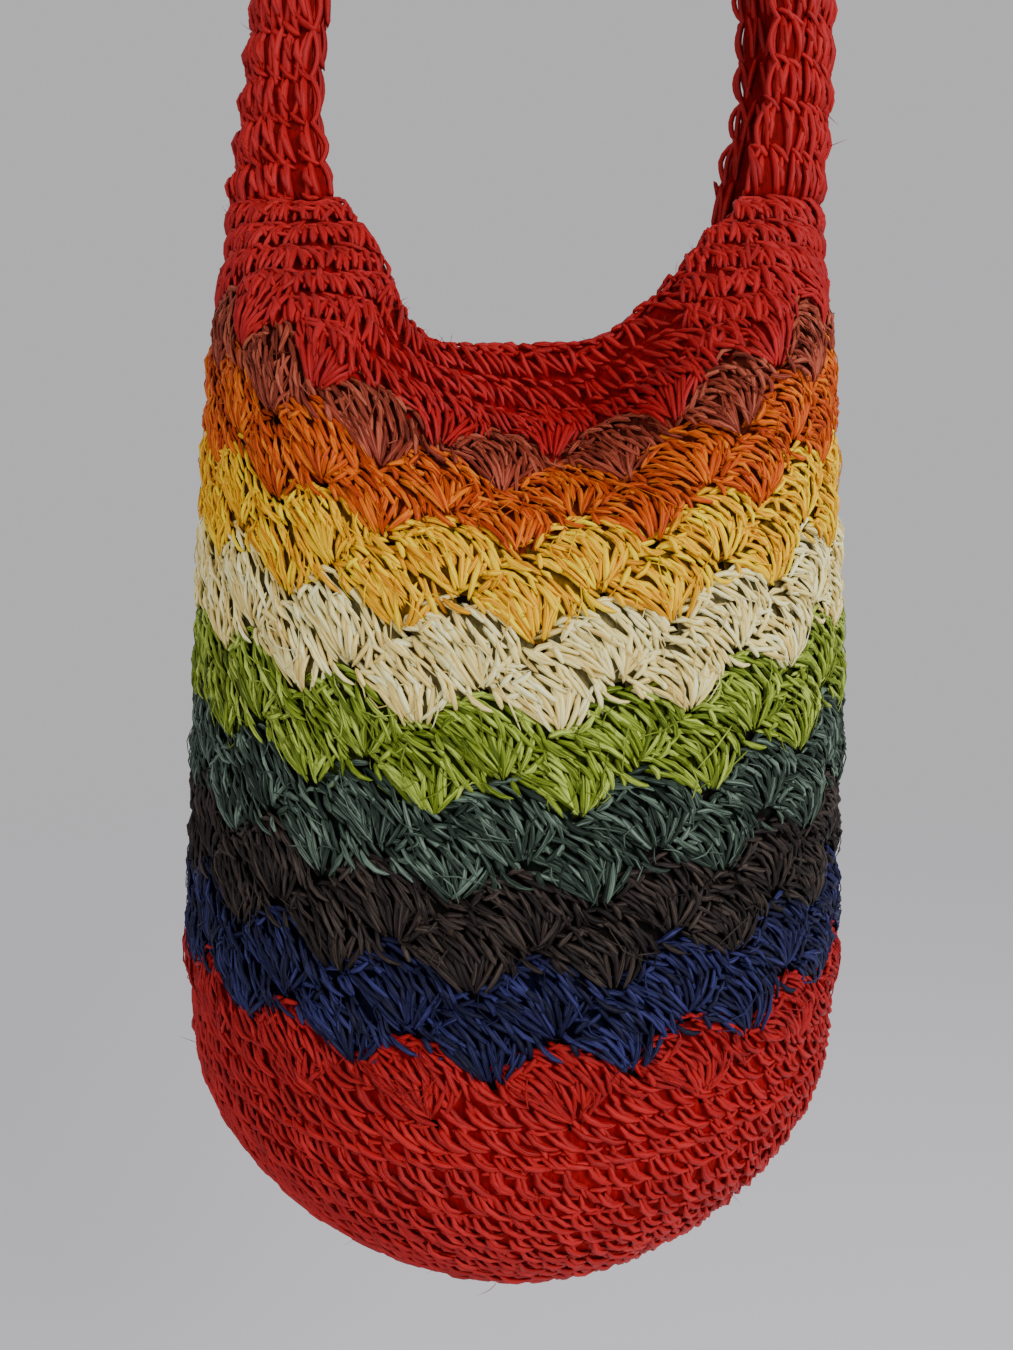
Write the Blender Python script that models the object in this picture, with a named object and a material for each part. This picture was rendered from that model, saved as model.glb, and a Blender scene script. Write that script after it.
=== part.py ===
"""Rainbow crocheted shoulder bag of plant-fibre string, hanging by its strap.

The body is worked in the round in one piece: a plain red cup for a base, rounds 16 to 0 of
shells in nine yarns, and a red edge that rises into a gore on each side. The strap is a wide band
of tall stitches, folded lengthways, between the two gores. Metres, +Z up, front towards -Y, and
the origin where the strap hangs.
"""

import math
from collections import namedtuple
from functools import lru_cache

import bmesh
import bpy
import numpy as np

# Crochet gauge
SHELLS_PER_ROUND = 16
COLUMNS_PER_SHELL = 4
LEVELS_PER_ROUND = 2
ROUNDS = 17  # the last of them is plain, where the cup begins
COLUMNS = SHELLS_PER_ROUND * COLUMNS_PER_SHELL
ROUNDS_TOP = ROUNDS + 1.0  # height of round 0, with round 17 at 1 and the cup below it
BODY_TOP = ROUNDS_TOP + 1.0
DRIFT_PER_ROUND = 0.072  # shells, to the right on each round further down
DRIFT_AT_TOP = -1.23  # shells, at round 0

# Cloth
HALF_THICKNESS = 0.0020
SHELL_CROWN = 0.0034  # how far the middle of a shell stands proud
SHELL_EDGE = -0.0008  # along the line where two rounds meet
SHELL_POINT = -0.0020  # drawn in where all its stitches share one hole
SCALLOP_LIFT = 0.17  # of a round, which rounds off the top of each shell
EDGE_RIDGE = 0.0012
GAP = 0.0003
SHARE_STEP = 0.004  # the steps that the outward directions are read over
HEIGHT_STEP = 0.05
STRAP_STEP = 0.02

# Bag sections, from the round under the red edge down to the cup. Round 0 is the top one.
# drop: from the hanging point to the side of the round. sag: how much lower its front and back
# middles hang. dent: how far the middle of the front is pushed in. shift: sideways.
Section = namedtuple("Section", "round drop half_width front back sag dent shift")
SECTIONS = (
    Section(0, 0.4146, 0.1201, 0.1160, 0.0830, 0.0610, 0.0560, 0.0015),
    Section(1, 0.4314, 0.1221, 0.1165, 0.0840, 0.0570, 0.0360, 0.0011),
    Section(2, 0.4482, 0.1238, 0.1170, 0.0850, 0.0500, 0.0180, 0.0007),
    Section(3, 0.4650, 0.1248, 0.1165, 0.0851, 0.0440, 0.0060, 0.0003),
    Section(6, 0.5154, 0.1286, 0.1160, 0.0847, 0.0365, 0.0000, 0.0002),
    Section(9, 0.5657, 0.1312, 0.1175, 0.0857, 0.0291, 0.0000, -0.0002),
    Section(12, 0.6161, 0.1320, 0.1205, 0.0875, 0.0217, 0.0000, -0.0018),
    Section(15, 0.6665, 0.1342, 0.1245, 0.0895, 0.0143, 0.0000, -0.0027),
    Section(17, 0.7001, 0.1335, 0.1255, 0.0900, 0.0094, 0.0000, -0.0027),
)
DENT_HALF_WIDTH = 0.052
DENT_MIDDLE = 0.010
DENTED_ROUNDS = 3  # rounds below the red edge that the dent reaches

# Cup
CUP_DEPTH = 0.088
CUP_FULLNESS = 1.85  # 2 is an ellipse, and more is fuller in the corner
CUP_MIDDLE_SHIFT = 0.012
CUP_LEVELS = 12
CUP_RIDGE = 0.0009
FINE_FROM = 0.75  # of the way up the cup, where its columns double
INNER_CUP = (0.35, 0.60, 0.82)

# Strap, along its fold from the right gore over the top to the left gore.
# x, z: place of the fold. front, back: how far each of its two leaves reaches in from the fold.
# spread: from the front leaf's edge to the back leaf's.
Station = namedtuple("Station", "x z front back spread")
STRAP = (
    Station(0.1215, -0.3680, 0.0340, 0.0400, 0.0400),
    Station(0.1240, -0.3200, 0.0310, 0.0380, 0.0380),
    Station(0.1215, -0.2600, 0.0290, 0.0360, 0.0380),
    Station(0.1140, -0.1800, 0.0300, 0.0330, 0.0430),
    Station(0.0900, -0.0880, 0.0240, 0.0250, 0.0560),
    Station(0.0450, -0.0220, 0.0140, 0.0140, 0.0720),
    Station(0.0000, 0.0000, 0.0090, 0.0090, 0.0770),
    Station(-0.0430, -0.0230, 0.0140, 0.0140, 0.0720),
    Station(-0.0790, -0.0880, 0.0240, 0.0230, 0.0560),
    Station(-0.0960, -0.1800, 0.0300, 0.0270, 0.0440),
    Station(-0.1020, -0.2700, 0.0320, 0.0270, 0.0370),
    Station(-0.1100, -0.3250, 0.0370, 0.0320, 0.0340),
    Station(-0.1165, -0.3680, 0.0450, 0.0400, 0.0380),
)
STRAP_LEVELS = 96  # two to each row of stitches
STRAP_COLUMNS = 26
STRAP_ROW_PUFF = 0.0012
STRAP_STEM_RISE = 0.0008
STRAP_EDGE_TURN = 0.0014
LEAF_ROUNDNESS = 0.8  # 1 is a half ellipse, and less is squarer
TANGENT_REACH = 0.004
ROOT_LENGTH = 0.030  # over which the strap turns upright to meet its gore

# Top edge: where each gore takes the strap, as shares of the round from the middle of the front
STRAP_SHARE = 0.122
RIGHT_SIDE = 0.25
LEFT_SIDE = 0.75
# The free edge between the gores: share of the round, and place
Edge = namedtuple("Edge", "share x y z")
FRONT_EDGE = (
    Edge(-0.155, -0.0580, -0.0300, -0.3860),
    Edge(-0.125, -0.0510, -0.0360, -0.3980),
    Edge(-0.090, -0.0455, -0.0390, -0.4150),
    Edge(-0.050, -0.0330, -0.0400, -0.4270),
    Edge(0.000, 0.0000, -0.0370, -0.4275),
    Edge(0.045, 0.0310, -0.0370, -0.4250),
    Edge(0.085, 0.0510, -0.0370, -0.4100),
    Edge(0.125, 0.0700, -0.0340, -0.3890),
    Edge(0.160, 0.0840, -0.0260, -0.3740),
)
BACK_EDGE = (
    Edge(0.345, 0.0740, 0.0330, -0.3840),
    Edge(0.400, 0.0560, 0.0520, -0.4010),
    Edge(0.450, 0.0320, 0.0640, -0.4230),
    Edge(0.500, 0.0000, 0.0680, -0.4300),
    Edge(0.550, -0.0280, 0.0640, -0.4240),
    Edge(0.600, -0.0470, 0.0520, -0.4060),
    Edge(0.655, -0.0590, 0.0330, -0.3850),
)
YOKE_LEVELS = 7
YOKE_SHELL_LEVELS = 2
YOKE_ROUNDS = 2.9  # its height, in rounds of the shells
YOKE_LEAN = 1.5  # rounds of the body's own slope that the yoke keeps before it turns in

# Yarns, each with the last round it works, counted down from the red edge. Below the last of
# them the red comes back. Linear colours.
Yarn = namedtuple("Yarn", "name last_round colour")
YARNS = (
    Yarn("red_yarn", 0, (0.42, 0.018, 0.014)),
    Yarn("brown_yarn", 1, (0.15, 0.036, 0.020)),
    Yarn("orange_yarn", 3, (0.62, 0.125, 0.010)),
    Yarn("yellow_yarn", 5, (0.70, 0.40, 0.020)),
    Yarn("cream_yarn", 7, (0.72, 0.60, 0.36)),
    Yarn("lime_yarn", 9, (0.23, 0.29, 0.030)),
    Yarn("forest_yarn", 11, (0.040, 0.090, 0.070)),
    Yarn("black_yarn", 13, (0.026, 0.019, 0.015)),
    Yarn("navy_yarn", 15, (0.012, 0.020, 0.075)),
)
YARN_ROUGHNESS = 0.62

# A point of the cloth, with its place in columns and heights
Knot = namedtuple("Knot", "vert column height")


def smooth(xs, ys, x):
    """A curve through the points (xs, ys) with no corner at any of them, read at x."""
    xs, ys = np.asarray(xs, float), np.asarray(ys, float)
    slopes = np.gradient(ys, xs, axis=0)
    i = int(np.clip(np.searchsorted(xs, x) - 1, 0, len(xs) - 2))
    step = xs[i + 1] - xs[i]
    t = np.clip((x - xs[i]) / step, 0.0, 1.0)
    start = (1 + 2 * t) * (1 - t) ** 2 * ys[i] + t * (1 - t) ** 2 * step * slopes[i]
    end = t * t * (3 - 2 * t) * ys[i + 1] + t * t * (t - 1) * step * slopes[i + 1]
    return start + end


@lru_cache(maxsize=None)
def section_at(a_round):
    rounds = [s.round for s in SECTIONS]
    return Section(*smooth(rounds, [tuple(s) for s in SECTIONS], a_round))


@lru_cache(maxsize=None)
def oval(half_width, front, back):
    """The oval of a section from its front middle: x, y, and the length round to each."""
    turns = np.linspace(-0.5 * math.pi, 1.5 * math.pi, 361)
    x = half_width * np.cos(turns)
    y = np.where(np.sin(turns) < 0, front, back) * np.sin(turns)
    lengths = np.concatenate([[0.0], np.cumsum(np.hypot(np.diff(x), np.diff(y)))])
    return x, y, lengths


def bag_point(share, a_round):
    """The middle of the body's cloth on one of its rounds."""
    s = section_at(a_round)
    xs, ys, lengths = oval(s.half_width, s.front, s.back)
    where = (share % 1.0) * lengths[-1]
    x, y = np.interp(where, lengths, xs), np.interp(where, lengths, ys)
    if y < 0:
        y += s.dent * math.exp(-(((x - DENT_MIDDLE) / DENT_HALF_WIDTH) ** 2))
    fall = s.sag * (1 - (x / s.half_width) ** 2)
    return np.array([x + s.shift, y, -s.drop - fall])


def cup_point(share, climb):
    """The middle of the cup's cloth. climb runs from 0 in its middle to 1 at round 17."""
    s = SECTIONS[-1]
    rim = bag_point(share, s.round)
    turn = climb * 0.5 * math.pi
    reach = math.sin(turn) ** (2 / CUP_FULLNESS)
    depth = CUP_DEPTH * math.cos(turn) ** (2 / CUP_FULLNESS)
    middle = np.array([s.shift + CUP_MIDDLE_SHIFT * (1 - reach), 0.5 * (s.back - s.front), 0.0])
    flat = middle + (rim - middle) * reach
    flat[2] = rim[2] * reach + (-s.drop - s.sag) * (1 - reach) - depth
    return flat


@lru_cache(maxsize=None)
def strap_frame(along):
    """Fold point, outward direction and station of the strap, along from 0 to 1."""
    rows = np.array([tuple(s) for s in STRAP])
    steps = np.hypot(np.diff(rows[:, 0]), np.diff(rows[:, 1]))
    places = np.concatenate([[0.0], np.cumsum(steps)])
    where = along * places[-1]
    here = Station(*smooth(places, rows, where))
    before = smooth(places, rows, max(where - TANGENT_REACH, 0.0))
    after = smooth(places, rows, min(where + TANGENT_REACH, places[-1]))
    tangent = (after - before)[:2] / np.hypot(*(after - before)[:2])
    upright = min(where, places[-1] - where) / ROOT_LENGTH
    if upright < 1:
        level = np.array([0.0, 1.0 if along < 0.5 else -1.0])
        tangent = tangent * upright + level * (1 - upright)
        tangent /= np.hypot(*tangent)
    outward = np.array([tangent[1], 0.0, -tangent[0]])
    return np.array([here.x, 0.0, here.z]), outward, here


def strap_point(along, across):
    """The middle of the strap's cloth. across runs from -1, front edge, to 1, back edge."""
    fold, outward, station = strap_frame(along)
    turn = across * 0.5 * math.pi
    sideways = math.copysign(abs(math.sin(turn)) ** LEAF_ROUNDNESS, turn) * 0.5 * station.spread
    reach = station.back if across > 0 else station.front
    inward = reach * (1 - max(math.cos(turn), 0.0) ** LEAF_ROUNDNESS)
    return fold - outward * inward + np.array([0.0, sideways, 0.0])


def gore_top(share):
    """The strap's root, read at a share of the round, or None between the gores."""
    for side, along in ((RIGHT_SIDE, 0.0), (LEFT_SIDE, 1.0)):
        across = (share % 1.0 - side) / (0.5 * STRAP_SHARE)
        if side == LEFT_SIDE:
            across = -across
        if abs(across) <= 1.0:
            point = strap_point(along, across)
            point[2] -= GAP
            return point
    return None


def edge_table():
    """The free edge's points with the strap's corners between them, all the way round."""
    half = 0.5 * STRAP_SHARE
    corners = []
    for share in (RIGHT_SIDE - half, RIGHT_SIDE + half, LEFT_SIDE - half, LEFT_SIDE + half):
        nudge = 1e-6 if share in (RIGHT_SIDE - half, LEFT_SIDE - half) else -1e-6
        corners.append(Edge(share, *gore_top(share + nudge)))
    front = [e if e.share >= 0 else e._replace(share=e.share + 1) for e in FRONT_EDGE]
    rows = sorted([*front, *BACK_EDGE, *corners], key=lambda e: e.share)
    before = [e._replace(share=e.share - 1) for e in rows[-2:]]
    after = [e._replace(share=e.share + 1) for e in rows[:2]]
    return [*before, *rows, *after]


TOP_EDGE = edge_table()


def edge_point(share):
    """The top edge of the body: the strap's root at the gores, and the free edge between."""
    found = gore_top(share)
    if found is not None:
        return found
    share %= 1.0
    return smooth([e.share for e in TOP_EDGE], [(e.x, e.y, e.z) for e in TOP_EDGE], share)


def yoke_point(share, climb):
    """The red edge and gores: climb runs from 0 at round 0 to 1 at the top edge."""
    start = bag_point(share, 0.0)
    slope = start - bag_point(share, 1.0)
    bend = start + slope * YOKE_LEAN
    end = edge_point(share)
    return (1 - climb) ** 2 * start + 2 * climb * (1 - climb) * bend + climb**2 * end


def body_point(share, height):
    """Height is 0 in the middle of the cup, 1 at round 17, then a unit a round, then the yoke."""
    if height <= 1.0:
        return cup_point(share, height)
    if height <= ROUNDS_TOP:
        return bag_point(share, ROUNDS_TOP - height)
    return yoke_point(share, min(height - ROUNDS_TOP, 1.0))


def drift_at(height):
    """How far the columns have turned by a height, as a share of the round."""
    a_round = np.clip(ROUNDS_TOP - height, 0.0, ROUNDS)
    return (DRIFT_AT_TOP + DRIFT_PER_ROUND * a_round) / SHELLS_PER_ROUND


def body_outward(share, height):
    """Outward direction of the body's cloth, from its neighbours on each side."""
    above = body_point(share, min(height + HEIGHT_STEP, BODY_TOP))
    below = body_point(share, max(height - HEIGHT_STEP, HEIGHT_STEP / 2))
    right = body_point(share + SHARE_STEP, height)
    left = body_point(share - SHARE_STEP, height)
    out = np.cross(right - left, above - below)
    return out / np.linalg.norm(out)


def place_on_body(column, height, offset, lift=0.0):
    """A point at an offset from the middle of the cloth, on its column as drifted."""
    share = column / COLUMNS + drift_at(height)
    here = body_point(share, height + lift)
    if not offset:
        return here
    place = here + body_outward(share, height + lift) * offset
    if height >= BODY_TOP:
        on_gore = gore_top(share) is not None
        place[2] = here[2] if on_gore else min(place[2], here[2], STRAP[0].z - GAP)
    return place


def shell_relief(column, level):
    """How far the cloth stands proud in the rounds, level counted up from round 17."""
    half = COLUMNS_PER_SHELL // 2
    a_round = ROUNDS - level // LEVELS_PER_ROUND
    if a_round == ROUNDS:
        return CUP_RIDGE if level % LEVELS_PER_ROUND else -CUP_RIDGE
    centre = 0 if a_round % 2 else half
    away = abs((column - centre + half) % COLUMNS_PER_SHELL - half)
    if level % LEVELS_PER_ROUND == 0:
        return (SHELL_POINT, 0.75 * SHELL_CROWN, SHELL_CROWN)[away]
    return (0.5 * SHELL_CROWN, SHELL_EDGE, 0.8 * SHELL_CROWN)[away]


def scallop(column, level):
    """Lift of a point where two rounds meet, in rounds."""
    half = COLUMNS_PER_SHELL // 2
    between = level > LEVELS_PER_ROUND and level % LEVELS_PER_ROUND
    return SCALLOP_LIFT if between and column % half else 0.0


def body_levels():
    """The outer side's levels from the cup up: height, ring of reliefs, ring of lifts."""
    none = [0.0] * COLUMNS
    levels = []
    for i in range(1, CUP_LEVELS):
        climb = i / CUP_LEVELS
        height = 0.5 * climb + 0.5 * math.sqrt(climb)  # rings closer together near its rim
        levels.append((height, [CUP_RIDGE if i % 2 else -CUP_RIDGE] * COLUMNS, none))
    shell_levels = ROUNDS * LEVELS_PER_ROUND
    for level in range(shell_levels + 1):
        relief = [shell_relief(c, level) for c in range(COLUMNS)]
        lift = [scallop(c, level) for c in range(COLUMNS)]
        levels.append((1.0 + level / LEVELS_PER_ROUND, relief, lift))
    for i in range(1, YOKE_LEVELS + 1):
        relief = [EDGE_RIDGE if i % 2 else -0.3 * EDGE_RIDGE] * COLUMNS
        if i <= YOKE_SHELL_LEVELS:
            relief = [0.7 * shell_relief(c, shell_levels + i) for c in range(COLUMNS)]
        levels.append((ROUNDS_TOP + i / YOKE_LEVELS, relief, none))
    return levels


def strip(lower, upper, lean):
    """Threes of points that fill between two rows of the same count, split as lean(i) says."""
    for i in range(len(lower) - 1):
        a, b, c, d = lower[i], lower[i + 1], upper[i + 1], upper[i]
        yield from ((a, b, c), (a, c, d)) if lean(i) else ((a, b, d), (b, c, d))


def halved_strip(fine, coarse):
    """Threes of points that fill between a row and one with every second of its points."""
    for i in range(len(coarse) - 1):
        a, b, c = fine[2 * i : 2 * i + 3]
        d, e = coarse[i], coarse[i + 1]
        yield from ((a, b, d), (b, e, d), (b, c, e))


def alternately(i):
    return i % 2


def yarn_of(column, height):
    """Index of the yarn at a place: its shells reach down in points between the round below's."""
    if height > ROUNDS_TOP:
        height = ROUNDS_TOP + (height - ROUNDS_TOP) * YOKE_ROUNDS
    half = COLUMNS_PER_SHELL / 2
    for index, yarn in enumerate(YARNS):
        centre = 0 if yarn.last_round % 2 else half
        away = abs((column - centre + half) % COLUMNS_PER_SHELL - half) / half
        if height > ROUNDS_TOP - yarn.last_round + away:
            return index
    return 0


def body_ring(bm, columns, height, side, reliefs=None, lifts=None):
    """One ring of the body on its outer side, 1, or inner side, -1, with its first knot again."""
    ring = []
    for c in columns:
        offset = side * HALF_THICKNESS + (reliefs[c] if reliefs else 0.0)
        place = place_on_body(c, height, offset, lifts[c] if lifts else 0.0)
        ring.append(Knot(bm.verts.new(place), c, height))
    return [*ring, ring[0]._replace(column=COLUMNS)]


def body_side(bm, rings, middle_offset, lean_at):
    """The faces of one side of the body, closed at the middle of the cup."""
    middle = Knot(bm.verts.new(place_on_body(0, 0.0, 0.0) + (0.0, 0.0, middle_offset)), 0, 0.0)
    threes = [(middle, here, after) for here, after in zip(rings[0], rings[0][1:])]
    for lower, upper in zip(rings, rings[1:]):
        if len(lower) < len(upper):
            threes.extend(halved_strip(upper, lower))
        else:
            threes.extend(strip(lower, upper, lean_at(lower[0].height)))
    return threes


def shell_lean(height):
    """Splits the faces on one side of each shell one way and on its other side the other."""
    half = COLUMNS_PER_SHELL // 2
    turned = half * (round((height - 1.0) * LEVELS_PER_ROUND) // LEVELS_PER_ROUND % 2)
    return lambda c: (c + turned) % COLUMNS_PER_SHELL < half


def make_body():
    """The bag in one piece, with an outer side of raised shells and a plain inner side."""
    bm = bmesh.new()
    every, alternate = range(COLUMNS), range(0, COLUMNS, 2)
    outer = [
        body_ring(bm, every if height >= FINE_FROM else alternate, height, 1, reliefs, lifts)
        for height, reliefs, lifts in body_levels()
    ]
    yoke_heights = [ROUNDS_TOP + i / YOKE_LEVELS for i in range(1, YOKE_LEVELS + 1)]
    inner = [
        body_ring(bm, every if height >= ROUNDS_TOP - DENTED_ROUNDS else alternate, height, -1)
        for height in (*INNER_CUP, *range(1, ROUNDS + 2), *yoke_heights)
    ]
    threes = [
        *body_side(bm, outer, -HALF_THICKNESS, shell_lean),
        *body_side(bm, inner, HALF_THICKNESS, lambda height: alternately),
        *strip(outer[-1], inner[-1], alternately),
    ]
    for three in threes:
        face = bm.faces.new([knot.vert for knot in three])
        column = sum(knot.column for knot in three) / 3
        height = sum(knot.height for knot in three) / 3
        face.material_index = yarn_of(column, height)
    return finish_object(bm, "bag_body", YARNS)


def strap_axes(along, across):
    """Directions of the strap's cloth, over it from front edge to back edge and out of it."""
    inside = max(min(across, 1 - STRAP_STEP), STRAP_STEP - 1)
    half = STRAP_STEP / 2
    over = strap_point(along, inside + half) - strap_point(along, inside - half)
    ahead = strap_point(min(along + half, 1.0), inside)
    behind = strap_point(max(along - half, 0.0), inside)
    out = np.cross(over, ahead - behind)
    if along in (0.0, 1.0):
        out[2] = 0.0
    return over / np.linalg.norm(over), out / np.linalg.norm(out)


def strap_ring(bm, j):
    """One section of the strap: outer points of tall stitches side by side, and inner points."""
    along = j / STRAP_LEVELS
    outer, inner = [], []
    for i in range(STRAP_COLUMNS + 1):
        across = 2 * i / STRAP_COLUMNS - 1
        over, out = strap_axes(along, across)
        here = strap_point(along, across)
        relief = 0.0
        if i in (0, STRAP_COLUMNS):
            here = here + over * across * STRAP_EDGE_TURN * (j % 2)
        else:
            relief = STRAP_ROW_PUFF * (j % 2) + STRAP_STEM_RISE * (i % 2)
        outer.append(bm.verts.new(here + out * (HALF_THICKNESS + relief)))
        if i % 2 == 0:
            inner.append(bm.verts.new(here - out * HALF_THICKNESS))
    return outer, inner


def make_strap():
    """One folded band from gore to gore, its edges bulging where each row turns."""
    bm = bmesh.new()
    rings = [strap_ring(bm, j) for j in range(STRAP_LEVELS + 1)]
    threes = []
    for (outer, inner), (next_outer, next_inner) in zip(rings, rings[1:]):
        threes.extend(strip(outer, next_outer, alternately))
        threes.extend(strip(inner, next_inner, alternately))
        for edge in (0, -1):
            rows = (outer[edge], inner[edge]), (next_outer[edge], next_inner[edge])
            threes.extend(strip(*rows, alternately))
    for outer, inner in (rings[0], rings[-1]):
        threes.extend(halved_strip(outer, inner))
    for three in threes:
        bm.faces.new(three)
    return finish_object(bm, "shoulder_strap", YARNS[:1])


def yarn_material(yarn):
    found = bpy.data.materials.get(yarn.name)
    if found:
        return found
    material = bpy.data.materials.new(yarn.name)
    material.use_nodes = True
    shader = material.node_tree.nodes["Principled BSDF"]
    shader.inputs["Base Color"].default_value = (*yarn.colour, 1.0)
    shader.inputs["Roughness"].default_value = YARN_ROUGHNESS
    shader.inputs["Metallic"].default_value = 0.0
    material.diffuse_color = (*yarn.colour, 1.0)
    return material


def finish_object(bm, name, yarns):
    """Turns the mesh into an object, with its faces outward and its shading smooth."""
    bmesh.ops.recalc_face_normals(bm, faces=bm.faces)
    mesh = bpy.data.meshes.new(name)
    bm.to_mesh(mesh)
    bm.free()
    for yarn in yarns:
        mesh.materials.append(yarn_material(yarn))
    mesh.shade_smooth()
    made = bpy.data.objects.new(name, mesh)
    bpy.context.scene.collection.objects.link(made)
    return made


def main():
    for old in list(bpy.data.objects):
        bpy.data.objects.remove(old, do_unlink=True)
    make_body()
    make_strap()


main()
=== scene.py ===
"""Crocheted rainbow shoulder bag of plant-fibre string, hanging by its strap."""

import math
from collections import namedtuple

import bpy
import numpy as np
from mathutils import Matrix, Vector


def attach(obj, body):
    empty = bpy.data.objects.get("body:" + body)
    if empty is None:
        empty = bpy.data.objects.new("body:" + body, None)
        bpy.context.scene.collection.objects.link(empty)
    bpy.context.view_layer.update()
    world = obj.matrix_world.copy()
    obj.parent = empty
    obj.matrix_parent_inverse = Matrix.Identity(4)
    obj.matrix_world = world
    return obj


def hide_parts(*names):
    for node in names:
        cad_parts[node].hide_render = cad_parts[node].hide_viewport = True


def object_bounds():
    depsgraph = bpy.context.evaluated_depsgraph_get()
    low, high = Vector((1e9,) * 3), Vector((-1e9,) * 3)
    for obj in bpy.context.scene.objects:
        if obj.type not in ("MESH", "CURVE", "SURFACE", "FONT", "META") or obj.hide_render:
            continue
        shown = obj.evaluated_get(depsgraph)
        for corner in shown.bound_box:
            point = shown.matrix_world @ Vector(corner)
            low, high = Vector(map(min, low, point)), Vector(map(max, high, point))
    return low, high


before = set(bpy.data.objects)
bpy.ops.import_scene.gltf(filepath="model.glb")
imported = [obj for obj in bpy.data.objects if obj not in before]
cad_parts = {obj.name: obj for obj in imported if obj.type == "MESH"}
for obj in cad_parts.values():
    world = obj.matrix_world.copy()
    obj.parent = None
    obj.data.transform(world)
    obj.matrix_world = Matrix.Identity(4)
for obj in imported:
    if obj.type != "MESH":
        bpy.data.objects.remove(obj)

cad_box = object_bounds()
chance = np.random.default_rng(16)

# The camera: close in front of the bag's middle, tipped down six degrees.

camera = bpy.data.objects.new("camera", bpy.data.cameras.new("camera"))
camera.location = (-0.005, -0.467, -0.510)
camera.rotation_euler = (math.radians(84), 0, 0)
camera.data.lens = 29.07
camera.data.sensor_width = 36
bpy.context.scene.collection.objects.link(camera)
bpy.context.scene.camera = camera


# The bag's cloth: one piece of crochet from the base to the gores, in nine yarns. This is the
# packed back of the stitches. The raised stitches on its outer side are laid on it below.

SHELLS_PER_ROUND = 16
ROUNDS = 17  # round 0 is under the red edge, and round 17 is plain, where the cup begins
ROUNDS_TOP = ROUNDS + 1.0  # height of round 0, with round 17 at 1 and the cup below it
BODY_TOP = ROUNDS_TOP + 1.0
DRIFT_PER_ROUND = 0.072  # shells, to the right on each round further down
DRIFT_AT_TOP = -1.23

# drop: from the hanging point to the side of the round. sag: how much lower its front and back
# middles hang. dent: how far the middle of the front is pushed in. shift: sideways.
Section = namedtuple("Section", "round drop half_width front back sag dent shift")
SECTIONS = (
    Section(0, 0.4146, 0.1201, 0.1160, 0.0830, 0.0610, 0.0560, 0.0015),
    Section(1, 0.4314, 0.1221, 0.1165, 0.0840, 0.0570, 0.0360, 0.0011),
    Section(2, 0.4482, 0.1238, 0.1170, 0.0850, 0.0500, 0.0180, 0.0007),
    Section(3, 0.4650, 0.1248, 0.1165, 0.0851, 0.0440, 0.0060, 0.0003),
    Section(6, 0.5154, 0.1286, 0.1160, 0.0847, 0.0365, 0.0000, 0.0002),
    Section(9, 0.5657, 0.1312, 0.1175, 0.0857, 0.0291, 0.0000, -0.0002),
    Section(12, 0.6161, 0.1320, 0.1205, 0.0875, 0.0217, 0.0000, -0.0018),
    Section(15, 0.6665, 0.1342, 0.1245, 0.0895, 0.0143, 0.0000, -0.0027),
    Section(17, 0.7001, 0.1335, 0.1255, 0.0900, 0.0094, 0.0000, -0.0027),
)
DENT_HALF_WIDTH = 0.052
DENT_MIDDLE = 0.010
CUP_DEPTH = 0.088
CUP_FULLNESS = 1.85  # 2 is an ellipse, and more is fuller in the corner
CUP_MIDDLE_SHIFT = 0.012

# The strap, along its fold from the right gore over the top to the left gore.
# x, z: place of the fold. front, back: how far each of its two leaves reaches in from the fold.
# spread: from the front leaf's edge to the back leaf's.
Station = namedtuple("Station", "x z front back spread")
STRAP = (
    Station(0.1215, -0.3680, 0.0340, 0.0400, 0.0400),
    Station(0.1240, -0.3200, 0.0310, 0.0380, 0.0380),
    Station(0.1215, -0.2600, 0.0290, 0.0360, 0.0380),
    Station(0.1140, -0.1800, 0.0300, 0.0330, 0.0430),
    Station(0.0900, -0.0880, 0.0240, 0.0250, 0.0560),
    Station(0.0450, -0.0220, 0.0140, 0.0140, 0.0720),
    Station(0.0000, 0.0000, 0.0090, 0.0090, 0.0770),
    Station(-0.0430, -0.0230, 0.0140, 0.0140, 0.0720),
    Station(-0.0790, -0.0880, 0.0240, 0.0230, 0.0560),
    Station(-0.0960, -0.1800, 0.0300, 0.0270, 0.0440),
    Station(-0.1020, -0.2700, 0.0320, 0.0270, 0.0370),
    Station(-0.1100, -0.3250, 0.0370, 0.0320, 0.0340),
    Station(-0.1165, -0.3680, 0.0450, 0.0400, 0.0380),
)
LEAF_ROUNDNESS = 0.8  # 1 is a half ellipse, and less is squarer
TANGENT_REACH = 0.004
ROOT_LENGTH = 0.030  # over which the strap turns upright to meet its gore

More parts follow.
